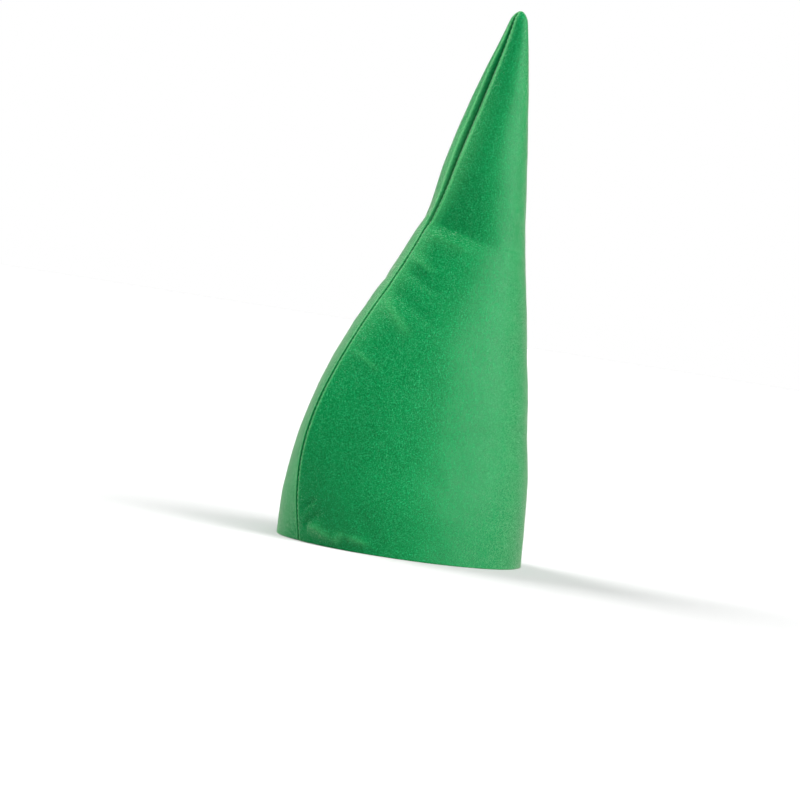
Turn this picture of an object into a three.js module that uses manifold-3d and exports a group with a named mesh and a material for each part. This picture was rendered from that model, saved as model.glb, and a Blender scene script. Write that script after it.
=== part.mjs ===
// Gnome hat: a tall, bent cone of felt, made of a left and a right panel that are sewn to each other
// along the front and along the back. Both seam allowances lie inside, and the rim is a raw cut edge.
// Millimetres, +Z up. The rim lies flat on Z = 0 and the front seam faces -Y, so the wearer's left is +X.

import * as THREE from "three";
import Module from "manifold-3d";

const wasm = await Module();
wasm.setup();

// Driving dimensions, in millimetres
const HAT_HEIGHT = 414;
const RIM_DEPTH = 198; // outside, from the front seam to the back seam
const RIM_WIDTH = 167; // outside, from side to side
const FELT_THICKNESS = 1.6;
const SEAM_GAP = 0.3; // between the two panels where they face each other
const SEAM_ALLOWANCE = 6; // how far each panel turns into the hat along its seams
const LIP_RADIUS = 1.8; // roll of the felt where it turns in at a seam
const TIP_ROUNDING = 8; // height over which the blunt tip closes
const SMALLEST_HOLLOW = 7; // the tip is filled by seam allowances where the hollow would be narrower
const FOLD_DEPTH = 2.4; // depth of the deepest fold

// How finely the shapes are cut
const LEVELS = 40;
const TIP_LEVELS = 4;
const STEPS_AROUND = 20;
const STEPS_ROLL = 3;
const OUTLINE_SAMPLES = 120;

// One row for each section. up is its height as a share of the hat's height. front and back are how far
// it reaches to the front and to the back, as shares of half the rim's depth, and side is how far it
// reaches to the side, as a share of half the rim's width. The angles, in degrees, are those between the
// panel and the plane of the seams where the panel leaves the front seam and the back seam.
const SECTIONS = [
  { up: 0, front: 1, back: 1, side: 1, frontAngle: 88, backAngle: 84 },
  { up: 0.08, front: 1.085, back: 0.966, side: 0.98, frontAngle: 78, backAngle: 84 },
  { up: 0.16, front: 1.105, back: 0.928, side: 0.935, frontAngle: 69, backAngle: 84 },
  { up: 0.24, front: 1.039, back: 0.882, side: 0.873, frontAngle: 67, backAngle: 82 },
  { up: 0.32, front: 0.899, back: 0.836, side: 0.807, frontAngle: 69, backAngle: 80 },
  { up: 0.4, front: 0.717, back: 0.786, side: 0.721, frontAngle: 71, backAngle: 78 },
  { up: 0.48, front: 0.508, back: 0.733, side: 0.622, frontAngle: 71, backAngle: 76 },
  { up: 0.56, front: 0.316, back: 0.68, side: 0.525, frontAngle: 72, backAngle: 74 },
  { up: 0.64, front: 0.171, back: 0.629, side: 0.449, frontAngle: 76, backAngle: 74 },
  { up: 0.72, front: 0.072, back: 0.574, side: 0.377, frontAngle: 83, backAngle: 75 },
  { up: 0.8, front: -0.037, back: 0.522, side: 0.308, frontAngle: 87, backAngle: 77 },
  { up: 0.88, front: -0.145, back: 0.466, side: 0.226, frontAngle: 88, backAngle: 80 },
  { up: 0.95, front: -0.241, back: 0.418, side: 0.14, frontAngle: 88, backAngle: 84 },
  { up: 1, front: -0.297, back: 0.386, side: 0.066, frontAngle: 88, backAngle: 88 },
];

// One row for each fold, which is pressed into the panel straight from a start to an end. up is a share of
// the hat's height, around a share of the way along the panel from the front seam to the back seam, width
// a share of the hat's height, and depth a share of the deepest fold's depth.
const FOLDS = [
  { fold: "bend", startUp: 0.597, startAround: 0.05, endUp: 0.566, endAround: 0.45, width: 0.024, depth: 1 },
  { fold: "wrinkle", startUp: 0.51, startAround: 0.02, endUp: 0.478, endAround: 0.17, width: 0.014, depth: 0.35 },
  { fold: "dip", startUp: 0.466, startAround: 0.03, endUp: 0.405, endAround: 0.27, width: 0.018, depth: 0.4 },
];

const HALF_DEPTH = RIM_DEPTH / 2;
const HALF_WIDTH = RIM_WIDTH / 2;
const PANEL_EDGE = SEAM_GAP / 2; // X of the face of a seam allowance that looks at the other panel
const TIP_FLAT = 0.3; // share of its width that the tip keeps at the very top, where it is flat
const LIP_SHARE = 0.3; // most that the roll at a seam takes of a section's own reach
const CONTROL_REACH = 0.75; // share of its control points' reach that an even cubic curve attains
const SLOPE_STEP = 0.004; // share of the height over which the slope of the wall is measured
const CUT_CLEARANCE = 1; // how far a body that is cut away runs past the felt

// Value of one column of SECTIONS at a share of the height, on a smooth curve through the rows.
function sectionValue(column, up) {
  const last = SECTIONS.length - 1;
  const above = SECTIONS.findIndex((row) => row.up > up);
  const i = above < 0 ? last - 1 : Math.max(above - 1, 0);
  const rise = (k) => SECTIONS[k + 1].up - SECTIONS[k].up;
  const slope = (k) => (SECTIONS[k + 1][column] - SECTIONS[k][column]) / rise(k);
  const slopeAtRow = (k) => (slope(Math.max(k - 1, 0)) + slope(Math.min(k, last - 1))) / 2;
  const t = (up - SECTIONS[i].up) / rise(i);
  return (
    (2 * t ** 3 - 3 * t ** 2 + 1) * SECTIONS[i][column] +
    (t ** 3 - 2 * t ** 2 + t) * rise(i) * slopeAtRow(i) +
    (3 * t ** 2 - 2 * t ** 3) * SECTIONS[i + 1][column] +
    (t ** 3 - t ** 2) * rise(i) * slopeAtRow(i + 1)
  );
}

// Share of its size that a section keeps where the felt closes over the tip.
function tipClosing(up) {
  const over = Math.max(0, 1 - ((1 - up) * HAT_HEIGHT) / TIP_ROUNDING);
  return Math.sqrt(1 - (1 - TIP_FLAT * TIP_FLAT) * over * over);
}

// Outside of a panel at a share of the height, from the front seam to the back seam, with no folds.
function plainOutline(up) {
  const front = -sectionValue("front", up) * HALF_DEPTH;
  const back = sectionValue("back", up) * HALF_DEPTH;
  const reach = (sectionValue("side", up) * HALF_WIDTH) / CONTROL_REACH;
  const cotangent = (column) => 1 / Math.tan(THREE.MathUtils.degToRad(sectionValue(column, up)));
  const curve = new THREE.CubicBezierCurve(
    new THREE.Vector2(0, front),
    new THREE.Vector2(reach, front + reach * cotangent("frontAngle")),
    new THREE.Vector2(reach, back - reach * cotangent("backAngle")),
    new THREE.Vector2(0, back),
  );
  const middle = new THREE.Vector2(0, (front + back) / 2);
  const closing = tipClosing(up);
  return curve.getSpacedPoints(OUTLINE_SAMPLES).map((p) => p.sub(middle).multiplyScalar(closing).add(middle));
}

// Outward direction at each point of an outline.
function outwards(outline) {
  return outline.map((_, i) => {
    const next = outline[Math.min(i + 1, outline.length - 1)];
    const along = next.clone().sub(outline[Math.max(i - 1, 0)]).normalize();
    return new THREE.Vector2(along.y, -along.x);
  });
}

// Outline with each point moved outwards by its own distance.
function moved(outline, distances) {
  const directions = outwards(outline);
  return outline.map((p, i) => p.clone().addScaledVector(directions[i], distances[i]));
}

// How far the folds press the panel in at a share of the height and of the way around it. They are laid
// out on the panel as if it was flat, with its true length around at that height.
function foldPress(up, around, lengthAround) {
  const flat = (flatUp, flatAround) => new THREE.Vector3(flatAround * lengthAround, flatUp * HAT_HEIGHT, 0);
  const point = flat(up, around);
  return FOLDS.reduce((sum, row) => {
    const line = new THREE.Line3(flat(row.startUp, row.startAround), flat(row.endUp, row.endAround));
    const nearest = line.closestPointToPoint(point, true, new THREE.Vector3());
    const share = nearest.distanceTo(point) / (row.width * HAT_HEIGHT);
    return sum + row.depth * FOLD_DEPTH * Math.exp(-share * share);
  }, 0);
}

// Outside of a panel at a share of the height, with its folds.
function outerOutline(up) {
  const plain = plainOutline(up);
  const lengthAround = plain.slice(1).reduce((sum, p, i) => sum + p.distanceTo(plain[i]), 0);
  return moved(plain, plain.map((_, i) => -foldPress(up, i / OUTLINE_SAMPLES, lengthAround)));
}

// How much longer than its height a slope of the wall is, at each point of the outline.
function stretches(up) {
  const directions = outwards(outerOutline(up));
  const below = outerOutline(up - SLOPE_STEP);
  const above = outerOutline(up + SLOPE_STEP);
  const rise = 2 * SLOPE_STEP * HAT_HEIGHT;
  return directions.map((direction, i) => Math.hypot(1, above[i].clone().sub(below[i]).dot(direction) / rise));
}

// Inside of a panel at a share of the height: one felt thickness in, measured square to the wall.
function innerOutline(up) {
  return moved(outerOutline(up), stretches(up).map((stretch) => -FELT_THICKNESS * stretch));
}

// Point of a line of points at a place between two of them.
function pointAt(line, place) {
  const i = THREE.MathUtils.clamp(Math.floor(place), 0, line.length - 2);
  return line[i].clone().lerp(line[i + 1], place - i);
}

// Ring of one level: the outline, cut off at a plane of constant X with each corner rolled to a radius,
// and closed along that plane. All rings with the same number of roll steps have the same number of points.
function ring(outline, z, planeX, radius, rollSteps) {
  const centres = moved(outline, outline.map(() => -radius));
  const limit = planeX + radius;
  const first = centres.findIndex((p) => p.x > limit);
  const last = centres.findLastIndex((p) => p.x > limit);
  const crossing = (i) => i - 1 + (limit - centres[i - 1].x) / (centres[i].x - centres[i - 1].x);
  const start = crossing(first);
  const end = crossing(last + 1);
  const directions = outwards(outline);
  const roll = (place, fromAngle, sense) => {
    const centre = pointAt(centres, place);
    const facing = pointAt(directions, place).angle();
    const turn = sense * THREE.MathUtils.euclideanModulo(sense * (facing - fromAngle), 2 * Math.PI);
    return Array.from({ length: rollSteps }, (_, k) => {
      const angle = fromAngle + (turn * k) / rollSteps;
      return new THREE.Vector2(centre.x + radius * Math.cos(angle), centre.y + radius * Math.sin(angle));
    });
  };
  const between = [pointAt(outline, start)];
  for (let i = Math.ceil(start); i <= Math.floor(end); i += 1) {
    between.push(outline[i]);
  }
  between.push(pointAt(outline, end));
  const panel = new THREE.SplineCurve(between).getSpacedPoints(STEPS_AROUND);
  const points = [...roll(start, Math.PI, 1), ...panel, ...roll(end, Math.PI, -1).reverse()];
  return points.map((p) => new THREE.Vector3(p.x, p.y, z));
}

// Closed body through rings that have the same number of points, each higher than the last.
function loft(rings) {
  const count = rings[0].length;
  const middleOf = (points) => points.reduce((sum, p) => sum.add(p), new THREE.Vector3()).divideScalar(count);
  const points = [...rings.flat(), middleOf(rings[0]), middleOf(rings.at(-1))];
  const top = (rings.length - 1) * count;
  const triangles = [];
  for (let j = 0; j < count; j += 1) {
    const next = (j + 1) % count;
    for (let i = 0; i < top; i += count) {
      triangles.push(i + j, i + next, i + count + next);
      triangles.push(i + j, i + count + next, i + count + j);
    }
    triangles.push(points.length - 2, next, j);
    triangles.push(points.length - 1, top + j, top + next);
  }
  const vertProperties = Float32Array.from(points.flatMap((p) => p.toArray()));
  return new wasm.Manifold(new wasm.Mesh({ numProp: 3, vertProperties, triVerts: Uint32Array.from(triangles) }));
}

// Levels, as shares of the height, evenly spaced up to the tip and close together over it.
function levels() {
  const shoulder = 1 - TIP_ROUNDING / HAT_HEIGHT;
  const body = Array.from({ length: LEVELS }, (_, i) => (shoulder * i) / LEVELS);
  const quarter = (k) => Math.sin(((k / TIP_LEVELS) * Math.PI) / 2);
  const tip = Array.from({ length: TIP_LEVELS + 1 }, (_, k) => shoulder + (1 - shoulder) * quarter(k));
  return [...body, ...tip];
}

// Body that is cut away from the rim up to the last level that passes a test.
function cutBody(ringAt, test) {
  const all = levels();
  const open = all.slice(0, all.findIndex((up) => !test(up)));
  return loft([ringAt(0, -CUT_CLEARANCE), ...open.map((up) => ringAt(up, up * HAT_HEIGHT))]);
}

// Where the seam allowances end at a share of the height: the inner edges of the front and the back one.
function allowanceEnds(up) {
  const outline = outerOutline(up);
  const stretch = stretches(up);
  return [outline[0].y + SEAM_ALLOWANCE * stretch[0], outline.at(-1).y - SEAM_ALLOWANCE * stretch.at(-1)];
}

// One panel, on +X: the felt with its seam allowances turned in at the front and at the back.
function panelSolid() {
  const widest = (outline) => Math.max(...outline.map((p) => p.x));
  const innerFace = PANEL_EDGE + FELT_THICKNESS;
  const outerRings = levels().map((up) => {
    const outline = outerOutline(up);
    const reach = Math.min(widest(outline), (outline.at(-1).y - outline[0].y) / 2);
    return ring(outline, up * HAT_HEIGHT, PANEL_EDGE, Math.min(LIP_RADIUS, LIP_SHARE * reach), STEPS_ROLL);
  });
  const hollow = cutBody(
    (up, z) => ring(innerOutline(up), z, innerFace, 0, 0),
    (up) => {
      const outline = innerOutline(up);
      return Math.min(outline.at(-1).y - outline[0].y, 2 * widest(outline)) > SMALLEST_HOLLOW;
    },
  );
  const betweenAllowances = cutBody(
    (up, z) => {
      const [front, back] = allowanceEnds(up);
      return [
        new THREE.Vector3(-CUT_CLEARANCE, front, z),
        new THREE.Vector3(innerFace + CUT_CLEARANCE, front, z),
        new THREE.Vector3(innerFace + CUT_CLEARANCE, back, z),
        new THREE.Vector3(-CUT_CLEARANCE, back, z),
      ];
    },
    (up) => {
      const [front, back] = allowanceEnds(up);
      return back - front > SMALLEST_HOLLOW;
    },
  );
  return loft(outerRings).subtract(hollow).subtract(betweenAllowances);
}

const felt = new THREE.MeshStandardMaterial({ color: 0x1e9b50, roughness: 0.95, metalness: 0 });

// Mesh of the panel on one side, 1 for +X and -1 for -X, which is its mirror image.
function panelMesh(name, solid, side) {
  const { vertProperties, triVerts } = solid.getMesh();
  const positions = vertProperties.map((value, i) => (i % 3 === 0 ? side * value : value));
  const geometry = new THREE.BufferGeometry();
  geometry.setAttribute("position", new THREE.BufferAttribute(positions, 3));
  geometry.setIndex(new THREE.BufferAttribute(side > 0 ? triVerts : triVerts.toReversed(), 1));
  geometry.computeVertexNormals();
  const mesh = new THREE.Mesh(geometry, felt);
  mesh.name = name;
  return mesh;
}

const panel = panelSolid();
const hat = new THREE.Group();
hat.add(panelMesh("panel_left", panel, 1), panelMesh("panel_right", panel, -1));

// The origin lies on the rim's plane, under the middle of the whole hat.
hat.position.y = -new THREE.Box3().setFromObject(hat).getCenter(new THREE.Vector3()).y;

export default hat;
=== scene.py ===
"""Gnome hat: the finished look of a tall, bent cone hat of felt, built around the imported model's frame.

Metres, +Z up. The rim lies on Z = 0, the front seam faces -Y and the wearer's left is +X.
"""

import logging
import math
from dataclasses import dataclass
from enum import Enum

import bpy
import numpy as np
from bpy.types import ID, Material, Node, NodeSocket, NodeTree, Object
from mathutils import Matrix, Vector, noise

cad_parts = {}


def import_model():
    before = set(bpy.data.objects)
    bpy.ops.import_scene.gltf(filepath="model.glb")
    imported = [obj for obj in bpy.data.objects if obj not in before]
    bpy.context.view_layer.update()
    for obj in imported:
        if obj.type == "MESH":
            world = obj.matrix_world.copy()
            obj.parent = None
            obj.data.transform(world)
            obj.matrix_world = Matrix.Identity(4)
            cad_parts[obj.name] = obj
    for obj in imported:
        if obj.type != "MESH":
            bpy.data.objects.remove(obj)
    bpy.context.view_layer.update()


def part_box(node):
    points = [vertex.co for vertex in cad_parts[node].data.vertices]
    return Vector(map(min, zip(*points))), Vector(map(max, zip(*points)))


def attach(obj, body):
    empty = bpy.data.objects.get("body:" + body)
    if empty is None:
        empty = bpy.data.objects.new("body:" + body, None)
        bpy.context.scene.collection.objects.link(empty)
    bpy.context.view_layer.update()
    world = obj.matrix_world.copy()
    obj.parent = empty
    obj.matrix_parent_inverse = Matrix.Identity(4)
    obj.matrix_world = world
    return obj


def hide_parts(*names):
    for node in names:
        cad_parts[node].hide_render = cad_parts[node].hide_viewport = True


LOG = logging.getLogger("gnome_hat")
MM = 0.001
Colour = tuple[float, float, float]
Inputs = dict[int | str, object]

# Share of its control points' reach that an even cubic curve attains
CONTROL_REACH = 0.75

# Steps between the points of one level of a panel, from its front seam allowance to its back one
FLANGE_STEPS = 4
ROLL_STEPS = 6
LIP_STEPS = 10
FRONT_STEPS = 42
BACK_STEPS = 20
FIRST_ON_FACE = FLANGE_STEPS + ROLL_STEPS

# Steps at either end of a level that lie too deep in a groove for loose fibres
BARE_STEPS = 6

# Largest gap, thickness, lip and allowance, as shares of the felt's reach at a level
TIP_SHARES = (0.05, 0.25, 0.3, 0.6)


class Side(Enum):
    """A side of the hat, named for the wearer, with the sign of X on that side."""

    LEFT = 1
    RIGHT = -1


class Seam(Enum):
    """A seam between the panels, with the sign of Y that it faces."""

    FRONT = -1
    BACK = 1


@dataclass(frozen=True)
class Section:
    """One section: its height and its reach to each side as shares, and its seam angles in degrees."""

    up: float
    front: float
    back: float
    side: float
    front_angle: float
    back_angle: float


@dataclass(frozen=True)
class Fold:
    """One fold in a panel, straight from a start to an end, in shares of the height and around.

    The depth is negative for a ridge, and the upper slope is wider than the lower one by the factor above.
    """

    start_up: float
    start_around: float
    end_up: float
    end_around: float
    width: float
    depth: float
    above: float = 1.0


SECTIONS = (
    Section(0.00, 1.000, 1.000, 1.000, 88, 84),
    Section(0.08, 1.085, 0.966, 0.980, 78, 84),
    Section(0.16, 1.105, 0.928, 0.935, 69, 84),
    Section(0.24, 1.039, 0.882, 0.873, 67, 82),
    Section(0.32, 0.899, 0.836, 0.807, 69, 80),
    Section(0.40, 0.717, 0.786, 0.721, 71, 78),
    Section(0.48, 0.508, 0.733, 0.622, 71, 76),
    Section(0.56, 0.316, 0.680, 0.525, 72, 74),
    Section(0.64, 0.171, 0.629, 0.449, 76, 74),
    Section(0.72, 0.072, 0.574, 0.377, 83, 75),
    Section(0.80, -0.037, 0.522, 0.308, 87, 77),
    Section(0.88, -0.145, 0.466, 0.226, 88, 80),
    Section(0.95, -0.241, 0.418, 0.140, 88, 84),
    Section(1.00, -0.297, 0.386, 0.066, 88, 88),
)

FOLDS_LEFT = (
    Fold(0.597, 0.00, 0.564, 0.46, 0.013, 1.10, above=4.0),
    Fold(0.574, 0.05, 0.552, 0.32, 0.011, -0.30, above=0.8),
    Fold(0.510, 0.00, 0.468, 0.21, 0.007, 0.46, above=2.4),
    Fold(0.530, 0.02, 0.500, 0.17, 0.008, -0.28),
    Fold(0.466, 0.02, 0.405, 0.29, 0.011, 0.46, above=1.6),
    Fold(0.444, 0.03, 0.390, 0.18, 0.009, -0.30),
    Fold(0.347, 0.03, 0.318, 0.14, 0.004, -0.18),
    Fold(0.058, 0.02, 0.082, 0.06, 0.005, 0.40),
    Fold(0.034, 0.03, 0.060, 0.08, 0.005, 0.36),
    Fold(0.030, 0.05, 0.014, 0.11, 0.008, -0.42),
    Fold(0.012, 0.12, 0.032, 0.14, 0.006, -0.36),
    Fold(0.022, 0.16, 0.016, 0.21, 0.006, -0.32),
    Fold(0.060, 0.19, 0.012, 0.23, 0.012, 0.20),
)

FOLDS_RIGHT = (
    Fold(0.606, 0.16, 0.580, 0.40, 0.018, 0.50, above=3.0),
    Fold(0.492, 0.14, 0.456, 0.28, 0.011, 0.32, above=1.5),
    Fold(0.424, 0.18, 0.392, 0.32, 0.013, 0.24),
    Fold(0.240, 0.55, 0.200, 0.72, 0.016, 0.16),
)


@dataclass
class HatForm:
    """Outer form of the hat: the outline of one panel at every height.

    Args:
        height: Height of the tip above the rim, from the frame.
        half_width: Half of the rim's width, from the frame.
        half_depth: Half of the rim's depth from seam to seam.
        middle: Y of the point that the sections reach from.
        tip_rounding: Height over which the blunt tip closes.
        tip_flat: Share of its width that the tip keeps at the very top.
        fold_depth: Depth that the folds' own depths are shares of.
        fold_power: Power of a fold's profile, higher for a flatter bottom.
        fade_start: Share of its length at which a fold starts to fade.
        fade: Share of its depth that a fold has lost at its end.
        held_width: Distance from the front seam over which the seam holds the felt.
        held_share: Share of their depth that the folds keep at the front seam itself.
        samples: How many steps an outline has.
    """

    height: float
    half_width: float
    half_depth: float = 99.0 * MM
    middle: float = 4.98 * MM
    tip_rounding: float = 8.0 * MM
    tip_flat: float = 0.04
    fold_depth: float = 4.2 * MM
    fold_power: float = 1.5
    fade_start: float = 0.45
    fade: float = 0.75
    held_width: float = 13.0 * MM
    held_share: float = 0.12
    samples: int = 240

    def column(self, name: str, up: np.ndarray) -> np.ndarray:
        """Values of one column of the sections, on a smooth curve through its rows.

        Args:
            name: Name of the column.
            up: Shares of the height.

        Returns:
            One value for each share.
        """
        rows = np.array([row.up for row in SECTIONS])
        values = np.array([getattr(row, name) for row in SECTIONS], float)
        slopes = np.diff(values) / np.diff(rows)
        at_rows = np.concatenate([slopes[:1], (slopes[:-1] + slopes[1:]) / 2, slopes[-1:]])
        i = np.clip(np.searchsorted(rows, up, side="right") - 1, 0, len(rows) - 2)
        rise = rows[i + 1] - rows[i]
        t = (up - rows[i]) / rise
        bend = t * (1 - t) * rise * ((1 - t) * at_rows[i] - t * at_rows[i + 1])
        return values[i] + eased(t) * (values[i + 1] - values[i]) + bend

    def closing(self, up: np.ndarray) -> np.ndarray:
        """Share of its size that a section keeps where the felt closes over the tip."""
        over = np.clip(1 - (1 - up) * self.height / self.tip_rounding, 0, 1)
        return np.sqrt(1 - (1 - self.tip_flat**2) * over**2)

    def outlines(self, up: np.ndarray) -> np.ndarray:
        """Outlines of the panel on +X from the front seam to the back seam, with evenly spaced points.

        Args:
            up: Shares of the height.

        Returns:
            Array of levels by points by X and Y.
        """
        front = -self.column("front", up) * self.half_depth
        back = self.column("back", up) * self.half_depth
        reach = self.column("side", up) * self.half_width / CONTROL_REACH
        lean_front = reach / np.tan(np.radians(self.column("front_angle", up)))
        lean_back = reach / np.tan(np.radians(self.column("back_angle", up)))
        front, back, closing = front[:, None], back[:, None], self.closing(up)[:, None]
        shares = np.linspace(0, 1, self.samples + 1)
        t = shares[None, :]
        x = 3 * t * (1 - t) * reach[:, None]
        lean = 3 * t * (1 - t) * ((1 - t) * lean_front[:, None] - t * lean_back[:, None])
        y = front + eased(t) * (back - front) + lean
        middle = (front + back) / 2
        curves = np.stack([x * closing, middle + (y - middle) * closing + self.middle], axis=-1)
        return np.stack([resampled(curve, shares) for curve in curves])

    def fold_press(
        self, up: np.ndarray, around: np.ndarray, girth: np.ndarray, folds: tuple[Fold, ...]
    ) -> np.ndarray:
        """How far the folds press the felt in, laid out on the panel as if it was flat.

        Args:
            up: Shares of the height, one for each level.
            around: Shares of the way around, for all levels or levels by points.
            girth: Length of each level's outline.
            folds: The folds of this panel.

        Returns:
            Array of levels by points, in metres.
        """
        flat_x = around * girth[:, None]
        flat_y = up[:, None] * self.height
        total = np.zeros_like(flat_x)
        for fold in folds:
            from_x = flat_x - fold.start_around * girth[:, None]
            from_y = flat_y - fold.start_up * self.height
            run_x = (fold.end_around - fold.start_around) * girth[:, None]
            run_y = (fold.end_up - fold.start_up) * self.height
            along = np.clip((from_x * run_x + from_y * run_y) / (run_x**2 + run_y**2), 0, 1)
            off_x, off_y = from_x - along * run_x, from_y - along * run_y
            width = fold.width * self.height * np.where(off_y > 0, fold.above, 1.0)
            late = np.clip((along - self.fade_start) / (1 - self.fade_start), 0, 1)
            fading = 1 - self.fade * late**2
            slope = np.exp(-((np.hypot(off_x, off_y) / width) ** self.fold_power))
            total += fold.depth * self.fold_depth * fading * slope
        free = eased(np.clip(flat_x / self.held_width, 0, 1))
        return total * (self.held_share + (1 - self.held_share) * free)


def eased(share: np.ndarray) -> np.ndarray:
    """Share from 0 to 1 that leaves 0 and reaches 1 smoothly."""
    return share * share * (3 - 2 * share)


def travelled(lines: np.ndarray) -> np.ndarray:
    """Length of the way to each point, along one line of points or along several."""
    steps = np.linalg.norm(np.diff(lines, axis=-2), axis=-1)
    return np.concatenate([np.zeros((*steps.shape[:-1], 1)), np.cumsum(steps, axis=-1)], axis=-1)


def resampled(curve: np.ndarray, shares: np.ndarray) -> np.ndarray:
    """Points of a polyline at shares of its length.

    Args:
        curve: Points, one a row.
        shares: Shares of the length, from 0 to 1.

    Returns:
        One point for each share.
    """
    lengths = travelled(curve)
    places = shares * lengths[-1]
    return np.stack([np.interp(places, lengths, column) for column in curve.T], axis=-1)


def outward(lines: np.ndarray) -> np.ndarray:
    """Outward directions along outlines, in their own plane.

    Args:
        lines: Outlines that run from front to back on +X.

    Returns:
        A direction for each point.
    """
    along = np.gradient(lines, axis=-2)
    along /= np.maximum(np.linalg.norm(along, axis=-1, keepdims=True), 1e-12)
    return np.stack([along[..., 1], -along[..., 0]], axis=-1)


def in_scene(name: str, data: ID) -> Object:
    """Makes an object and puts it in the scene.

    Args:
        name: Its name.
        data: Its mesh, camera or light.

    Returns:
        The new object.
    """
    made = bpy.data.objects.new(name, data)
    bpy.context.scene.collection.objects.link(made)
    return made


def mesh_object(name: str, points: np.ndarray, faces: list, materials: list, slots: np.ndarray) -> Object:
    """Makes a smooth-shaded mesh object in the scene.

    Args:
        name: Name of the object and of its mesh.
        points: Vertices, one a row.
        faces: Lists of vertex numbers.
        materials: Materials of the mesh.
        slots: Number of the material of each face.

    Returns:
        The new object.
    """
    mesh = bpy.data.meshes.new(name)
    mesh.from_pydata(points.tolist(), [], faces, shade_flat=False)
    for material in materials:
        mesh.materials.append(material)
    mesh.polygons.foreach_set("material_index", np.asarray(slots, np.int32))
    mesh.update()
    return in_scene(name, mesh)


@dataclass
class SeamLine:
    """The line of one seam, with the places of its stitches.

    Args:
        form: The hat's outer form.
        seam: Which seam it is.
        pitch: Length of one stitch.
        samples: Points of the line that its length is measured with.
        stitch_samples: Points of it that the stitches are placed with.
    """

    form: HatForm
    seam: Seam
    pitch: float = 3.8 * MM
    samples: int = 400
    stitch_samples: int = 2000

    def points(self, up: np.ndarray) -> np.ndarray:
        """Places on the seam.

        Args:
            up: Shares of the height.

        Returns:
            Y and Z at each share, one a row.
        """
        outlines = self.form.outlines(up)
        y = outlines[:, 0 if self.seam is Seam.FRONT else -1, 1]
        return np.stack([y, up * self.form.height], axis=-1)

    def phase(self, up: np.ndarray) -> np.ndarray:
        """How many stitches lie below each share of the height."""
        shares = np.linspace(0, 1, self.samples)
        return np.interp(up, shares, travelled(self.points(shares))) / self.pitch

    def stitch_shares(self) -> np.ndarray:
        """Places of the stitches.

        Returns:
            Shares of the height.
        """
        shares = np.linspace(0, 1, self.stitch_samples)
        phase = self.phase(shares)
        return np.interp(np.arange(1, math.floor(phase[-1])), phase, shares)


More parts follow.
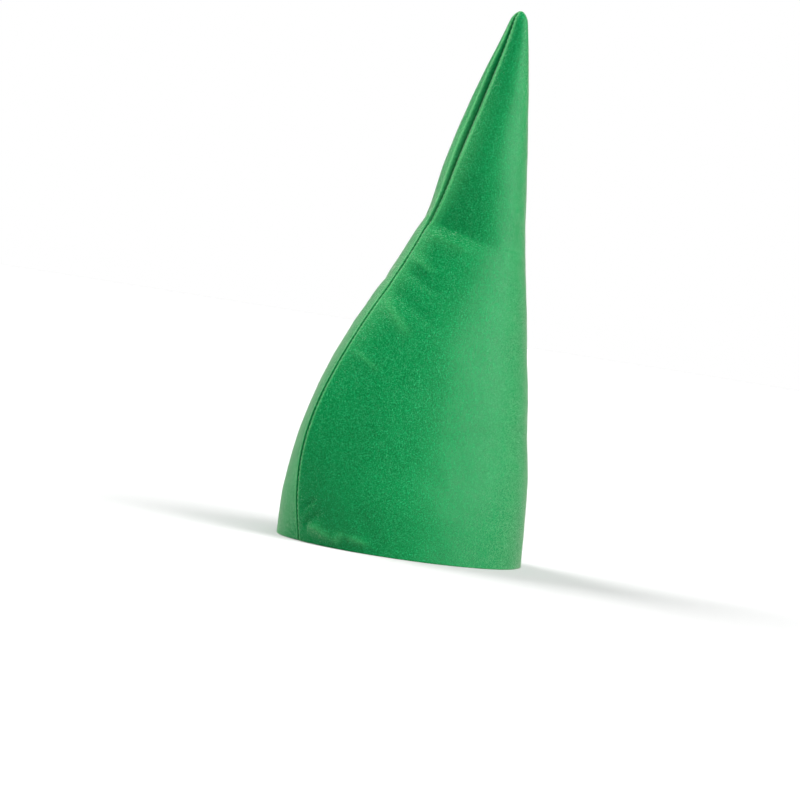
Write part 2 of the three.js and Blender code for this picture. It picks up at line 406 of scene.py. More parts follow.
@dataclass
class FeltPanel:
    """One felt panel, with its seam allowances turned in, its rolled lips and its raw rim.

    Args:
        form: The hat's outer form.
        side: The side of the hat that it covers.
        folds: The folds pressed into it.
        seed: Place in the noise that shapes it.
        thickness: Thickness of the felt.
        gap: Gap between the panels at a seam.
        allowance: How far the felt turns in at a seam.
        lip_low: Radius of a seam's lips below the bend.
        lip_high: Their radius near the tip.
        open_start: Share of the height at which the lips start to grow.
        open_rise: Share of the height over which they grow.
        beside_seam: Width beside each lip in which the points lie close together.
        stitch_pull: How far a stitch pulls the lips in.
        stitch_puff: How far the felt puffs out between stitches.
        stitch_middle: Distance from the allowance at which a stitch pulls most.
        stitch_reach: Distance over which its pull fades.
        waves: Height and noise scale of the felt's wide waves and of its small ripples.
        calm_share: Share of the way around, beside each seam, in which both fade out.
        noise_step: Levels and points from one reading of that noise to the next.
        rim_lift: How far the rim is lifted off the ground at most.
        rim_scale: Scale of the noise that lifts it.
        rim_height: Height over which the lift fades.
        chamfer: How far the rim's edges are cut back.
        seam_band_width: Width of the strip beside the front seam whose nap is scuffed by handling and given
            a painted highlight.
        seam_band_span: Shares of the height at which that strip starts, is full, starts to fade and ends.
        seam_band_wear_and_highlight: How light that strip gets, from scuffed nap and painted highlight.
        ridge_wear_and_highlight: How light ridges get, from scuffed nap and painted highlight.
        fold_shade: Shade at the bottom of a fold.
        narrow_shade: Shade of the groove where the lips are small.
        level_step: Height between two levels.
        tip_levels: How many levels lie over the tip.
    """

    form: HatForm
    side: Side
    folds: tuple[Fold, ...]
    seed: float
    thickness: float = 1.6 * MM
    gap: float = 0.02 * MM
    allowance: float = 6.0 * MM
    lip_low: float = 1.4 * MM
    lip_high: float = 4.4 * MM
    open_start: float = 0.56
    open_rise: float = 0.20
    beside_seam: float = 6.0 * MM
    stitch_pull: float = 0.52 * MM
    stitch_puff: float = 0.2 * MM
    stitch_middle: float = 1.2 * MM
    stitch_reach: float = 2.4 * MM
    waves: tuple[tuple[float, float], ...] = ((0.8 * MM, 22.0), (0.28 * MM, 75.0))
    calm_share: float = 0.16
    noise_step: int = 6
    rim_lift: float = 0.5 * MM
    rim_scale: float = 18.0
    rim_height: float = 14.0 * MM
    chamfer: float = 0.3 * MM
    seam_band_width: float = 10.0 * MM
    seam_band_span: tuple[float, ...] = (0.3, 0.45, 0.7, 0.9)
    seam_band_wear_and_highlight: float = 0.38
    ridge_wear_and_highlight: float = 1.2
    fold_shade: float = 0.25
    narrow_shade: float = 0.6
    level_step: float = 0.95 * MM
    tip_levels: int = 18

    def levels(self) -> np.ndarray:
        """Places of all levels, close together at the rim and over the tip.

        Returns:
            Shares of the height.
        """
        shoulder = 1 - self.form.tip_rounding / self.form.height
        body = np.arange(self.level_step, self.form.height * shoulder, self.level_step) / self.form.height
        quarter_turns = np.linspace(0.05, 1, self.tip_levels)
        tip = shoulder + (1 - shoulder) * np.sin(quarter_turns * math.pi / 2)
        return np.concatenate([[0.0, self.chamfer / self.form.height], body, tip])

    def opened(self, up: np.ndarray) -> np.ndarray:
        """How far the groove between the lips has opened, from 0 below the bend to 1 near the tip."""
        return eased(np.clip((up - self.open_start) / self.open_rise, 0, 1))

    def lip_radius(self, up: np.ndarray) -> np.ndarray:
        """Radius of the seam's lips, which open into a wide groove above the bend."""
        return self.lip_low + (self.lip_high - self.lip_low) * self.opened(up)

    def unevenness(self, outlines: np.ndarray, up: np.ndarray) -> np.ndarray:
        """Wide waves and small ripples of the felt, which fade out towards the seams.

        Args:
            outlines: Levels by points by X and Y.
            up: Shares of the height.

        Returns:
            Outward distances, levels by points.
        """
        levels, points = outlines.shape[:2]
        rows = [*range(0, levels, self.noise_step), levels - 1]
        columns = [*range(0, points, self.noise_step), points - 1]
        shift = Vector((self.seed, -self.seed, self.seed * 0.5))
        grid = np.zeros((len(rows), len(columns)))
        for a, i in enumerate(rows):
            for b, j in enumerate(columns):
                place = Vector((*outlines[i, j], up[i] * self.form.height)) + shift
                grid[a, b] = sum(height * noise.noise(place * scale) for height, scale in self.waves)
        across = np.stack([np.interp(np.arange(points), columns, row) for row in grid])
        uneven = np.stack([np.interp(np.arange(levels), rows, column) for column in across.T], axis=1)
        around = np.linspace(0, 1, points)
        free = eased(np.clip(np.minimum(around, 1 - around) / self.calm_share, 0, 1))
        narrow = np.clip(outlines[:, :, 0].max(axis=1) / (20 * MM), 0, 1)
        return uneven * free[None, :] * narrow[:, None]

    def path(
        self, outline: np.ndarray, plane: float, radius: float, flange_end: tuple[float, float]
    ) -> np.ndarray:
        """One level of one face, from the front allowance's edge to the back allowance's edge.

        Args:
            outline: Points of the face's outline.
            plane: X of the face of the seam allowance.
            radius: Radius of the roll at each seam.
            flange_end: Y of the inner edges of the front and the back allowance.

        Returns:
            Points of the path, the same number at every level.
        """
        directions = outward(outline)
        centres = outline - directions * radius
        inside = np.nonzero(centres[:, 0] > plane + radius)[0]
        places = []
        for first, second in ((inside[0] - 1, inside[0]), (inside[-1], inside[-1] + 1)):
            share = (plane + radius - centres[first, 0]) / (centres[second, 0] - centres[first, 0])
            places.append(first + share)
        index = np.arange(len(outline))

        def at(line: np.ndarray, place: float) -> np.ndarray:
            """Point of a line at a place between two of its points."""
            return np.array([np.interp(place, index, column) for column in line.T])

        rolls = []
        for place, sense in ((places[0], 1.0), (places[1], -1.0)):
            centre, facing = at(centres, place), at(directions, place)
            turn = sense * ((sense * (math.atan2(facing[1], facing[0]) - math.pi)) % (2 * math.pi))
            angles = math.pi + turn * np.arange(ROLL_STEPS) / ROLL_STEPS
            rolls.append(centre + radius * np.stack([np.cos(angles), np.sin(angles)], axis=-1))
        kept = index[(index > places[0]) & (index < places[1])]
        curve = np.vstack([at(outline, places[0]), outline[kept], at(outline, places[1])])
        zone = min(self.beside_seam / travelled(curve)[-1], 0.22)
        shares = np.concatenate([
            np.linspace(0, zone, LIP_STEPS, endpoint=False),
            zone + (0.5 - zone) * np.linspace(0, 1, FRONT_STEPS, endpoint=False) ** 1.4,
            0.5 + (0.5 - zone) * np.linspace(0, 1, BACK_STEPS, endpoint=False),
            np.linspace(1 - zone, 1, LIP_STEPS + 1),
        ])
        panel = resampled(curve, shares)
        inward = np.linspace(1, 0, FLANGE_STEPS, endpoint=False)[:, None]
        flanges = []
        for roll, end in ((rolls[0], flange_end[0]), (rolls[1], flange_end[1])):
            start = np.array([plane, roll[0, 1]])
            flanges.append(start + inward * (np.array([plane, end]) - start))
        return np.vstack([flanges[0], rolls[0], panel, rolls[1][::-1], flanges[1][::-1]])

    def faces_of(self, up: np.ndarray) -> tuple[np.ndarray, np.ndarray]:
        """Outer and inner face of the felt.

        Args:
            up: Shares of the height of the levels.

        Returns:
            The outer and the inner face, each levels by points by X, Y and Z.
        """
        form = self.form
        outlines = form.outlines(up)
        girth = travelled(outlines)[:, -1]
        around = np.linspace(0, 1, outlines.shape[1])[None, :]
        push = self.unevenness(outlines, up) - form.fold_press(up, around, girth, self.folds)
        outlines = outlines + outward(outlines) * push[..., None]
        z = up * form.height
        directions = outward(outlines)
        slope = (np.gradient(outlines, z, axis=0) * directions).sum(axis=-1)
        stretch = np.clip(np.hypot(1, slope), 1, 1.3)
        reach = np.minimum(outlines[:, :, 0].max(axis=1), (outlines[:, -1, 1] - outlines[:, 0, 1]) / 2)
        sizes = (self.gap / 2, self.thickness, self.lip_radius(up), self.allowance)
        limits = (share * reach for share in TIP_SHARES)
        edge, thickness, lip, allowance = (np.minimum(*pair) for pair in zip(sizes, limits))
        inner = outlines - directions * (thickness[:, None] * stretch)[..., None]
        outer_face, inner_face = [], []
        for k in range(len(up)):
            turned_in = allowance[k] + lip[k]
            ends = (outlines[k, 0, 1] + turned_in, outlines[k, -1, 1] - turned_in)
            inner_lip = max(lip[k] - thickness[k], 0.1 * thickness[k])
            outer_face.append(self.path(outlines[k], edge[k], lip[k], ends))
            inner_face.append(self.path(inner[k], edge[k] + thickness[k], inner_lip, ends))
        outer_face, inner_face = np.array(outer_face), np.array(inner_face)
        outer_face = outer_face + outward(outer_face) * self.stitch_shape(outer_face, up)[..., None]
        outer_face[0] -= outward(outer_face)[0] * self.chamfer
        inner_face[0] += outward(inner_face)[0] * self.chamfer
        return self.lifted(outer_face, z), self.lifted(inner_face, z)

    def wear_and_painted_light_marks(self, face: np.ndarray, up: np.ndarray) -> tuple[np.ndarray, np.ndarray]:
        """Where handling has scuffed the nap and painted highlight lightens it, and where grooves and folds
        get painted shade.

        Args:
            face: Outer face, levels by points by X, Y and Z.
            up: Shares of the height.

        Returns:
            Shares of light marks (scuffed nap and painted highlight) and of painted shade, each levels by
            points.
        """
        lengths = travelled(face[:, :, :2])
        first, last = FIRST_ON_FACE, face.shape[1] - 1 - FIRST_ON_FACE
        # Light lines along the lips' tops, where the rolled edges catch the light: partly scuffed nap,
        # partly painted highlight.
        crest_width = 0.25 * MM + 0.22 * self.lip_radius(up)[:, None]
        wear_and_highlight = np.zeros(lengths.shape)
        for top in (first, last):
            wear_and_highlight += np.exp(-(((lengths - lengths[:, top : top + 1]) / crest_width) ** 2))
        girth = np.maximum(lengths[:, last] - lengths[:, first], MM)
        around = np.clip((lengths - lengths[:, first : first + 1]) / girth[:, None], 0, 1)
        pressed = self.form.fold_press(up, around, girth, self.folds) / self.form.fold_depth
        # A strip beside the front seam, and the ridges beside the folds, get the same scuffed nap and
        # painted highlight.
        seam_band = self.seam_band_wear_and_highlight * np.interp(up, self.seam_band_span, (0, 1, 1, 0))
        near_front = np.exp(-((around * girth[:, None] / self.seam_band_width) ** 2))
        wear_and_highlight += seam_band[:, None] * near_front * np.clip(1 - 1.5 * pressed, 0, 1)
        wear_and_highlight = np.clip(wear_and_highlight + self.ridge_wear_and_highlight * np.clip(-pressed, 0, 1), 0, 1)
        # Painted shade in the groove between the lips, and at the bottoms of the folds.
        rolled_in = 1 - np.linspace(0, 1, ROLL_STEPS, endpoint=False) ** 2
        sunk = np.concatenate([np.ones(FLANGE_STEPS), rolled_in])
        groove = np.zeros(face.shape[1])
        groove[: len(sunk)], groove[-len(sunk) :] = sunk, sunk[::-1]
        depth = self.narrow_shade + (1 - self.narrow_shade) * self.opened(up)
        shade = np.maximum(self.fold_shade * pressed, depth[:, None] * groove[None, :])
        return wear_and_highlight, np.clip(shade, 0, 1)

    def stitch_shape(self, face: np.ndarray, up: np.ndarray) -> np.ndarray:
        """How the stitches pull the lips of both seams in, and how the felt puffs out between them.

        Args:
            face: Outer face, levels by points by X and Y.
            up: Shares of the height.

        Returns:
            Outward distances, levels by points.
        """
        lengths = travelled(face)
        narrow = np.clip(face[:, :, 0].max(axis=1) / (9 * MM), 0, 1)
        strength = narrow * (0.6 + 0.4 * self.opened(up))
        back_fold = face.shape[1] - 1 - FLANGE_STEPS
        total = np.zeros(lengths.shape)
        for seam, start, sign in ((Seam.FRONT, FLANGE_STEPS, 1), (Seam.BACK, back_fold, -1)):
            away = sign * (lengths - lengths[:, start : start + 1]) - self.stitch_middle
            near = np.exp(-((away / self.stitch_reach) ** 2)) * (away > -self.stitch_middle)
            beat = 0.5 + 0.5 * np.cos(2 * math.pi * SeamLine(self.form, seam).phase(up))
            out = self.stitch_puff * (1 - beat) - self.stitch_pull * beat**3
            total += near * (out * strength)[:, None]
        return total

    def lifted(self, face: np.ndarray, z: np.ndarray) -> np.ndarray:
        """Face with heights, its rim lifted off the ground a little here and there.

        Args:
            face: Levels by points by X and Y.
            z: Height of each level.

        Returns:
            Levels by points by X, Y and Z.
        """
        scale = self.rim_scale
        places = [Vector((x * scale + self.seed, y * scale, 0.0)) for x, y in face[0]]
        rim = np.array([noise.noise(place) for place in places])
        lift = self.rim_lift * np.clip(rim * 1.6, 0, 1)
        heights = z[:, None] + lift[None, :] * np.exp(-z / self.rim_height)[:, None]
        return np.concatenate([face, heights[..., None]], axis=-1)

    def build(self, face_felt: Material, cut_felt: Material) -> tuple[Object, np.ndarray]:
        """Makes the panel's mesh.

        Args:
            face_felt: Finish of the felt's faces.
            cut_felt: Finish of its cut edges.

        Returns:
            The panel, and its outer face as levels by points by X, Y and Z, on +X.
        """
        up = self.levels()
        outer, inner = self.faces_of(up)
        levels, points = outer.shape[:2]
        number = np.arange(levels * points).reshape(levels, points)
        inside = number + levels * points

        def strip(a: np.ndarray, b: np.ndarray) -> np.ndarray:
            """Four-sided faces between two rows of vertex numbers of equal length."""
            return np.stack([a[..., :-1], a[..., 1:], b[..., 1:], b[..., :-1]], axis=-1).reshape(-1, 4)

        faces = [
            strip(number[:-1], number[1:]),
            strip(inside[1:], inside[:-1]),
            strip(inside[0], number[0]),
            strip(number[-1], inside[-1]),
            strip(number[:, 0], inside[:, 0]),
            strip(inside[:, -1], number[:, -1]),
        ]
        slots = np.concatenate([np.full(len(f), 0 if k < 2 else 1) for k, f in enumerate(faces)])
        quads = np.concatenate(faces)
        vertices = np.concatenate([outer.reshape(-1, 3), inner.reshape(-1, 3)])
        vertices[:, 0] *= self.side.value
        if self.side is Side.RIGHT:
            quads = quads[:, ::-1]
        name = f"felt_panel_{self.side.name.lower()}"
        panel = mesh_object(name, vertices, quads.tolist(), [face_felt, cut_felt], slots)
        # Stores the light marks (scuffed nap and painted highlight) and the painted shade on the mesh for
        # the felt's material.
        for key, values in zip(("wear_and_highlight", "painted_shade"), self.wear_and_painted_light_marks(outer, up)):
            marks = panel.data.attributes.new(key, "FLOAT", "POINT")
            marks.data.foreach_set("value", np.concatenate([values.ravel(), np.zeros(levels * points)]))
        LOG.info("%s: %d levels, %d faces", name, levels, len(quads))
        return panel, outer


@dataclass
class SeamThread:
    """The thread of one seam: rungs across the groove outside, and running stitches on both allowances.

    Args:
        line: The line of the seam.
        panel: A panel, for the sizes of its lips and allowances.
        thread: Radius of the thread.
        half_span: How far each rung reaches from the seam onto a lip.
        half_run: Half the length of a running stitch, as a share of the pitch.
        run_depth: How far inside the rolls of the lips the running stitches lie.
        highest: Share of the height at which the stitches end.
        sides: How many sides the thread has.
    """

    line: SeamLine
    panel: FeltPanel
    thread: float = 0.26 * MM
    half_span: float = 0.75 * MM
    half_run: float = 0.38
    run_depth: float = 1.6 * MM
    highest: float = 0.985
    sides: int = 6

    def tube(self, centres: np.ndarray, first: int) -> tuple[np.ndarray, list[list[int]]]:
        """Tube of thread along a short line, with closed ends.

        Args:
            centres: Points of the line.
            first: Number of its first vertex.

        Returns:
            Its vertices and its faces.
        """
        along = np.gradient(centres, axis=0)
        along /= np.linalg.norm(along, axis=1, keepdims=True)
        side = np.cross(along, [0.0, 0.6, 0.8])
        side /= np.linalg.norm(side, axis=1, keepdims=True)
        top = np.cross(side, along)
        angles = np.arange(self.sides) * 2 * math.pi / self.sides
        ring = np.cos(angles)[None, :, None] * side[:, None] + np.sin(angles)[None, :, None] * top[:, None]
        points = (centres[:, None] + ring * self.thread).reshape(-1, 3)
        rings = first + np.arange(len(points)).reshape(-1, self.sides)
        turned = np.roll(rings, -1, axis=1)
        wall = np.stack([rings[:-1], turned[:-1], turned[1:], rings[1:]], axis=-1).reshape(-1, 4)
        return points, [*wall.tolist(), rings[0, ::-1].tolist(), rings[-1].tolist()]

    def build(self, finish: Material) -> Object:
        """Makes the thread of the seam.

        Args:
            finish: Finish of the thread.

        Returns:
            The thread.
        """
        shares = self.line.stitch_shares()
        shares = shares[shares < self.highest]
        points_yz = self.line.points(shares)
        apart = 0.002
        ahead = self.line.points(np.clip(shares + apart, 0, 1)) - self.line.points(shares - apart)
        ahead /= np.linalg.norm(ahead, axis=1, keepdims=True)
        inward = np.stack([ahead[:, 1], -ahead[:, 0]], axis=-1) * -self.line.seam.value
        tubes = []
        lip = self.panel.lip_radius(shares)
        face_x = self.panel.gap / 2 + self.panel.thickness + self.thread * 0.4
        for place, step, deep, roll in zip(points_yz, ahead, inward, lip):
            x = np.linspace(-1, 1, 7) * self.half_span
            wall = roll - math.sqrt(2 * roll * self.half_span - self.half_span**2)
            sunk = wall + self.panel.stitch_pull * 0.6 - self.thread * (1 - (x / self.half_span) ** 4)
            tubes.append(np.column_stack([x, place + deep * sunk[:, None]]))
            for side in Side:
                run = np.linspace(-self.half_run, self.half_run, 4) * self.line.pitch
                dip = -self.thread * 0.9 * (np.abs(run) > 0.3 * self.line.pitch)
                ahead_by = (run + self.line.pitch / 2)[:, None]
                inner = place + deep * (roll + self.run_depth) + step * ahead_by
                tubes.append(np.column_stack([side.value * (face_x + dip), inner]))
        vertices, faces, count = [], [], 0
        for centres in tubes:
            tube_points, tube_faces = self.tube(centres, count)
            vertices.append(tube_points)
            faces.extend(tube_faces)
            count += len(tube_points)
        name = f"seam_thread_{self.line.seam.name.lower()}"
        made = mesh_object(name, np.concatenate(vertices), faces, [finish], np.zeros(len(faces)))
        LOG.info("%s: %d stitches", name, len(shares))
        return made


@dataclass
class FeltFuzz:
    """Loose fibres that stand off the outer face of a panel, each a thin bent blade.

    Args:
        side: The side of the hat.
        fibres: How many there are.
        seed: Seed of their places.
        shortest: Length of the shortest.
        longest: Length of the longest.
        width: Width of a fibre at its root.
        clearance: Least height of a fibre above the ground.
    """

    side: Side
    fibres: int
    seed: int
    shortest: float = 0.6 * MM
    longest: float = 2.0 * MM
    width: float = 0.05 * MM
    clearance: float = 0.1 * MM

    def build(self, face: np.ndarray, finish: Material) -> Object:
        """Grows the fibres.

        Args:
            face: The panel's outer face, levels by points by X, Y and Z.
            finish: Finish of the fibres.

        Returns:
            The fibres as one piece.
        """
        rng = np.random.default_rng(self.seed)
        grid = face[:, BARE_STEPS:-BARE_STEPS] * np.array([self.side.value, 1, 1])
        up_edge, along_edge = grid[1:, :-1] - grid[:-1, :-1], grid[:-1, 1:] - grid[:-1, :-1]
        normal = np.cross(along_edge, up_edge) * self.side.value
        area = np.linalg.norm(normal, axis=2)
        chosen = rng.choice(area.size, self.fibres, p=(area / area.sum()).ravel())
        i, j = np.unravel_index(chosen, area.shape)
        away = normal[i, j] / area[i, j][:, None]
        root = grid[i, j] + up_edge[i, j] * rng.random((self.fibres, 1))
        root = root + along_edge[i, j] * rng.random((self.fibres, 1))
        loose = rng.normal(size=(self.fibres, 3))
        loose -= away * (loose * away).sum(axis=1, keepdims=True)
        loose /= np.linalg.norm(loose, axis=1, keepdims=True)
        turned = np.cross(away, loose)
        length = (self.shortest + (self.longest - self.shortest) * rng.random((self.fibres, 1)) ** 2.5) / 2
        lift = 0.25 + 0.6 * rng.random((self.fibres, 1))
        middle = root + length * (away * lift + loose * (1 - lift * 0.6))
        curl = turned * rng.normal(0, 0.5, (self.fibres, 1))
        tip = middle + length * (away * (lift - 0.35) + loose * 0.5 + curl)
        half = turned * self.width / 2
        root = root - away * 0.1 * MM
        points = np.stack([root - half, root + half, middle + half * 0.8, middle - half * 0.8, tip], axis=1)
        points[..., 2] = np.maximum(points[..., 2], self.clearance)
        first = np.arange(self.fibres)[:, None] * 5
        faces = (first + np.array([0, 1, 2, 3])).tolist() + (first + np.array([3, 2, 4])).tolist()
        name = f"felt_fuzz_{self.side.name.lower()}"
        made = mesh_object(name, points.reshape(-1, 3), faces, [finish], np.zeros(len(faces)))
        LOG.info("%s: %d fibres", name, self.fibres)
        return made


@dataclass
class NodeBoard:
    """Short calls for placing shader nodes in one tree."""

    tree: NodeTree

    def fill(self, node: Node, values: Inputs) -> None:
        """Sets or links inputs of a node.

        Args:
            node: The node.
            values: A value or the socket that feeds it for each input, by the input's name or number.
        """
        for key, value in values.items():
            if isinstance(value, NodeSocket):
                self.tree.links.new(value, node.inputs[key])
            else:
                node.inputs[key].default_value = value

    def add(self, kind: str, values: Inputs | None = None, **settings: object) -> Node:
        """Adds a node.

        Args:
            kind: Its kind.
            values: What its inputs get.
            settings: Its own properties.

        Returns:
            The node.
        """
        node = self.tree.nodes.new(kind)
        for key, value in settings.items():
            setattr(node, key, value)
        self.fill(node, values or {})
        return node

    def math(self, operation: str, *values: object, clamped: bool = False) -> NodeSocket:
        """Adds a math node.

        Args:
            operation: Its operation.
            values: Its values or sockets, in their order.
            clamped: Whether its result is kept from 0 to 1.

        Returns:
            Its output.
        """
        inputs = dict(enumerate(values))
        return self.add("ShaderNodeMath", inputs, operation=operation, use_clamp=clamped).outputs[0]

    def noise(
        self, place: NodeSocket, scale: object, detail: float = 2.0, rough: float = 0.5
    ) -> NodeSocket:
        """Adds a noise texture.

        Args:
            place: Where it is read.
            scale: Its scale, a value or a socket.
            detail: Its detail.
            rough: Its roughness.

        Returns:
            Its value.
        """
        values = {"Vector": place, "Scale": scale, "Detail": detail, "Roughness": rough}
        return self.add("ShaderNodeTexNoise", values).outputs["Fac"]

    def mix(self, share: NodeSocket, first: object, second: object) -> NodeSocket:
        """Adds a colour mix.

        Args:
            share: Share of the second colour.
            first: First colour or socket.
            second: Second colour or socket.

        Returns:
            The mixed colour.
        """
        values = {"Factor": share}
        for number, colour in ((6, first), (7, second)):
            values[number] = colour if isinstance(colour, NodeSocket) else (*colour, 1.0)
        return self.add("ShaderNodeMix", values, data_type="RGBA").outputs[2]

    def bump(self, height: NodeSocket, distance: float, strength: float) -> NodeSocket:
        """Adds a bump.

        Args:
            height: The height that it shows.
            distance: Distance that a height of 1 stands for.
            strength: Its strength.

        Returns:
            The bumped normal.
        """
        values = {"Height": height, "Distance": distance, "Strength": strength}
        return self.add("ShaderNodeBump", values).outputs["Normal"]


def blank_material(name: str) -> tuple[Material, NodeBoard, Node]:
    """Makes a material with the usual shader.

    Args:
        name: Its name.

    Returns:
        The material, a board for its nodes, and its shader.
    """
    made = bpy.data.materials.new(name)
    made.use_nodes = True
    return made, NodeBoard(made.node_tree), made.node_tree.nodes["Principled BSDF"]


def felt_nap_group() -> NodeTree:
    """Node group for matted fibres: soft patches, grain, stray light fibres and the height of the nap.

    Returns:
        The group, with inputs for its scales and outputs Patches, Grain, Fibres and Height.
    """
    tree = bpy.data.node_groups.new("Felt nap", "ShaderNodeTree")
    for name, value in (("Patch scale", 45.0), ("Grain scale", 900.0), ("Fibre scale", 2000.0)):
        socket = tree.interface.new_socket(name=name, in_out="INPUT", socket_type="NodeSocketFloat")
        socket.default_value = value
    for name in ("Patches", "Grain", "Fibres", "Height"):
        tree.interface.new_socket(name=name, in_out="OUTPUT", socket_type="NodeSocketFloat")
    board = NodeBoard(tree)
    inlet, outlet = board.add("NodeGroupInput").outputs, board.add("NodeGroupOutput")
    place = board.add("ShaderNodeTexCoord").outputs["Object"]
    patches = board.noise(place, inlet["Patch scale"], 3.0, 0.6)
    grain = board.noise(place, inlet["Grain scale"], 3.0, 0.7)
    clumps = board.noise(place, board.math("MULTIPLY", inlet["Grain scale"], 0.3), 2.0, 0.6)
    fibres = None
    for turn in ((0.3, 0.2, 0.1), (1.2, -0.5, 0.8), (-0.7, 1.1, 1.9)):
        rotated = board.add(
            "ShaderNodeVectorRotate", {"Vector": place, "Rotation": turn}, rotation_type="EULER_XYZ"
        )
        along_fibre = {0: rotated.outputs["Vector"], 1: (1.0, 1.0, 0.24)}
        drawn_out = board.add("ShaderNodeVectorMath", along_fibre, operation="MULTIPLY")
        streak = board.noise(drawn_out.outputs["Vector"], inlet["Fibre scale"], 1.0)
        thin = board.math("MULTIPLY_ADD", streak, 8.0, -4.8, clamped=True)
        fibres = thin if fibres is None else board.math("MAXIMUM", fibres, thin)
    height = board.math("MULTIPLY_ADD", fibres, 0.6, board.math("MULTIPLY", grain, 0.5))
    height = board.math("MULTIPLY_ADD", clumps, 0.5, height)
    board.fill(outlet, {"Patches": patches, "Grain": grain, "Fibres": fibres, "Height": height})
    return tree


@dataclass(frozen=True)
class FeltFinish:
    """A felt surface: its colours and how soft it looks.

    Args:
        name: Name of the material.
        deep: Colour between the fibres.
        body: Colour of the felt.
        light: Colour of stray fibres that catch the light.
        worn_and_lit: Colour of the light marks, from scuffed nap and painted highlight.
        fibre_share: How strongly the stray fibres show.
        sheen: Weight of the fuzz's sheen.
        bump: Strength of the nap's bump.
        wear_and_highlight_gain: How strongly the scuffed nap and painted highlight show.
        painted_shade: How strongly the painted shade of the grooves and folds shows.
    """

    name: str
    deep: Colour
    body: Colour
    light: Colour
    worn_and_lit: Colour = (0.13, 0.55, 0.2)
    fibre_share: float = 0.6
    sheen: float = 0.85
    bump: float = 0.85
    wear_and_highlight_gain: float = 1.0
    painted_shade: float = 0.38

    def material(self, nap: NodeTree) -> Material:
        """Makes the material.

        Args:
            nap: The node group of matted fibres.

        Returns:
            The material.
        """
        made, board, shader = blank_material(self.name)
        felt = board.add("ShaderNodeGroup", node_tree=nap).outputs
        grain = board.math("MULTIPLY_ADD", felt["Grain"], 3.0, -1.0)
        patches = board.math("MULTIPLY_ADD", felt["Patches"], 0.5, -0.25)
        colour = board.mix(board.math("ADD", grain, patches, clamped=True), self.deep, self.body)
        stray = board.math("MULTIPLY", felt["Fibres"], self.fibre_share)
        colour = board.mix(stray, colour, self.light)
        # Light marks on the lips' tops, on ridges and beside the front seam: scuffed nap and painted
        # highlight.
        wear_and_highlight = board.add("ShaderNodeAttribute", attribute_name="wear_and_highlight").outputs["Fac"]
        wear_and_highlight_share = board.math("MULTIPLY", wear_and_highlight, felt["Grain"])
        wear_and_highlight_share = board.math("MULTIPLY", wear_and_highlight_share, self.wear_and_highlight_gain, clamped=True)
        colour = board.mix(wear_and_highlight_share, colour, self.worn_and_lit)
        # Painted shade in the grooves and folds: the colour is mixed towards half of the deep colour.
        painted_shade = board.add("ShaderNodeAttribute", attribute_name="painted_shade").outputs["Fac"]
        shade = tuple(0.5 * channel for channel in self.deep)
        board.fill(shader, {
            "Base Color": board.mix(board.math("MULTIPLY", painted_shade, self.painted_shade), colour, shade),
            "Roughness": board.math("MULTIPLY_ADD", felt["Grain"], -0.16, 0.42),
            "Normal": board.bump(felt["Height"], 0.35 * MM, self.bump),
            "Specular IOR Level": 0.22,
            "Sheen Weight": self.sheen,
            "Sheen Roughness": 0.22,
            "Sheen Tint": (1.0, 1.0, 0.85, 1.0),
        })
        return made


@dataclass(frozen=True)
class StrandFinish:
    """A thin strand, such as sewing thread or a loose fibre.

    Args:
        name: Name of the material.
        colour: Its colour where it is lightest.
        roughness: Its roughness.
    """

    name: str
    colour: Colour
    roughness: float = 0.55

    def material(self, nap: NodeTree) -> Material:
        """Makes the material.

        Args:
            nap: The node group of matted fibres, used here at a finer scale.

        Returns:
            The material.
        """
        made, board, shader = blank_material(self.name)
        scales = {"Fibre scale": 6000.0, "Grain scale": 3000.0}
        strand = board.add("ShaderNodeGroup", scales, node_tree=nap).outputs
        dark = tuple(0.55 * channel for channel in self.colour)
        board.fill(shader, {
            "Base Color": board.mix(strand["Grain"], dark, self.colour),
            "Roughness": self.roughness,
            "Normal": board.bump(strand["Height"], 0.1 * MM, 1.0),
            "Specular IOR Level": 0.2,
        })
        return made


def direction(azimuth: float, elevation: float) -> Vector:
    """Direction at degrees round from the front seam towards +X, and at degrees above the horizon."""
    a, e = math.radians(azimuth), math.radians(elevation)
    return Vector((math.sin(a) * math.cos(e), -math.cos(a) * math.cos(e), math.sin(e)))


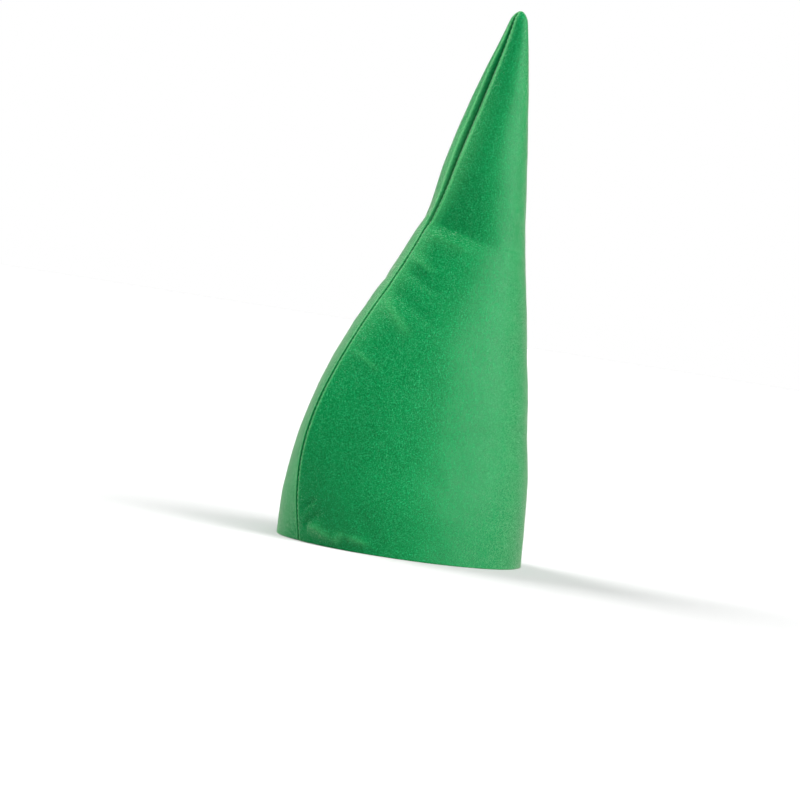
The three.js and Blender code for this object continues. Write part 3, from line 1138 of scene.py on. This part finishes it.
@dataclass
class Studio:
    """Pale floor, soft lights and the camera.

    Args:
        azimuth: Where the camera stands, in degrees round from the front seam towards +X.
        elevation: Its height above the horizon, in degrees.
        roll: How far the picture leans, in degrees.
        distance: From the camera to the aim.
        view_width: Width of the view at the aim.
        aim: The point in the middle of the picture, across and up from the middle of the rim.
        fill: Brightness of the light from all around.
        floor_reach: Radius of the floor.
    """

    azimuth: float = 50.0
    elevation: float = 2.0
    roll: float = 9.0
    distance: float = 2.5
    view_width: float = 0.6
    aim: tuple[float, float] = (3.0 * MM, 112.0 * MM)
    fill: float = 0.22
    floor_reach: float = 12.0

    def axes(self) -> tuple[Vector, Vector, Vector]:
        """Directions of the camera.

        Returns:
            Its right, its up and its back.
        """
        back, side = direction(self.azimuth, self.elevation), direction(self.azimuth + 90, 0)
        up, r = back.cross(side), math.radians(self.roll)
        return side * math.cos(r) + up * math.sin(r), up * math.cos(r) - side * math.sin(r), back

    def camera(self) -> None:
        """Makes the camera at the photograph's angle, but above the floor."""
        right, up, back = self.axes()
        data = bpy.data.cameras.new("camera")
        data.sensor_width = 36.0
        data.lens = data.sensor_width * self.distance / self.view_width
        data.clip_end = 60.0
        made = in_scene("camera", data)
        target = right * self.aim[0] + up * self.aim[1]
        turned = Matrix((right, up, back)).transposed().to_4x4()
        made.matrix_world = Matrix.Translation(target + back * self.distance) @ turned
        bpy.context.scene.camera = made

    def floor(self) -> None:
        """Makes the pale floor, which reaches far behind the hat."""
        angles = np.linspace(0, 2 * math.pi, 64, endpoint=False)
        points = self.floor_reach * np.stack([np.cos(angles), np.sin(angles), 0 * angles], axis=-1)
        paper, board, shader = blank_material("pale_paper")
        place = board.add("ShaderNodeTexCoord").outputs["Object"]
        tint = board.mix(board.noise(place, 3.0), (0.515, 0.515, 0.515), (0.53, 0.53, 0.53))
        board.fill(shader, {"Base Color": tint, "Roughness": 0.9, "Specular IOR Level": 0.1})
        made = mesh_object("floor", points, [list(range(len(points)))], [paper], np.zeros(1))
        made.visible_glossy = False

    def light(
        self, name: str, azimuth: float, elevation: float, width: float, power: float, shines: bool = False
    ) -> None:
        """Adds one wide, soft light that lights the hat and the whole floor evenly.

        Args:
            name: Name of the light.
            azimuth: Where it stands, in degrees round from the camera to its right.
            elevation: Its height above the horizon, in degrees.
            width: How wide it looks from the hat, in degrees.
            power: Light that a surface square to it gets, in watts a square metre.
            shines: Whether it shows as a soft shine on the felt.
        """
        back = direction(self.azimuth + azimuth, elevation)
        data = bpy.data.lights.new(name, "SUN")
        data.energy, data.angle = power, math.radians(width)
        made = in_scene(name, data)
        made.visible_glossy = shines
        made.matrix_world = Matrix.Translation(back * 3) @ back.to_track_quat("Z", "Y").to_matrix().to_4x4()

    def build(self) -> None:
        """Makes the camera, the floor and the lights."""
        self.camera()
        self.floor()
        self.light("soft_right", 71, 28, 60, 4.2, shines=True)
        self.light("soft_left", -118, 28, 55, 6.2)
        self.light("soft_top", 45, 62, 50, 1.9)
        world = bpy.data.worlds.new("studio")
        bpy.context.scene.world = world
        world.use_nodes = True
        world.cycles_visibility.glossy = False
        board = NodeBoard(world.node_tree)
        seen = board.add("ShaderNodeLightPath").outputs["Is Camera Ray"]
        strength = board.math("MULTIPLY_ADD", seen, 1.0 - self.fill, self.fill)
        background = world.node_tree.nodes["Background"]
        board.fill(background, {"Strength": strength, "Color": (1.0, 1.0, 1.0, 1.0)})
        bpy.context.scene.view_settings.view_transform = "Standard"


def main() -> None:
    """Builds the hat and its studio, and reports each piece."""
    logging.basicConfig(level=logging.INFO, format="%(name)s: %(message)s")
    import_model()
    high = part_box("panel_left")[1]
    form = HatForm(height=high.z, half_width=high.x)
    nap = felt_nap_group()
    face_felt = FeltFinish(
        "green_felt", deep=(0.0, 0.13, 0.031), body=(0.001, 0.237, 0.06), light=(0.015, 0.48, 0.16)
    ).material(nap)
    cut_felt = FeltFinish(
        "cut_felt_edge", deep=(0.002, 0.14, 0.032), body=(0.006, 0.25, 0.065), light=(0.09, 0.45, 0.19)
    ).material(nap)
    thread = StrandFinish("sewing_thread", (0.004, 0.15, 0.045)).material(nap)
    fibre = StrandFinish("loose_fibre", (0.004, 0.38, 0.12), roughness=0.8).material(nap)
    panels = (
        FeltPanel(form, Side.LEFT, FOLDS_LEFT, seed=3.1),
        FeltPanel(form, Side.RIGHT, FOLDS_RIGHT, seed=8.4),
    )
    for number, panel in enumerate(panels):
        made, face = panel.build(face_felt, cut_felt)
        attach(made, "root")
        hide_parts(f"panel_{panel.side.name.lower()}")
        fuzz = FeltFuzz(panel.side, fibres=20000, seed=number + 1).build(face, fibre)
        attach(fuzz, "root")
    for seam in Seam:
        made = SeamThread(SeamLine(form, seam), panels[0]).build(thread)
        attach(made, "root")
    Studio().build()


if __name__ == "__main__":
    main()
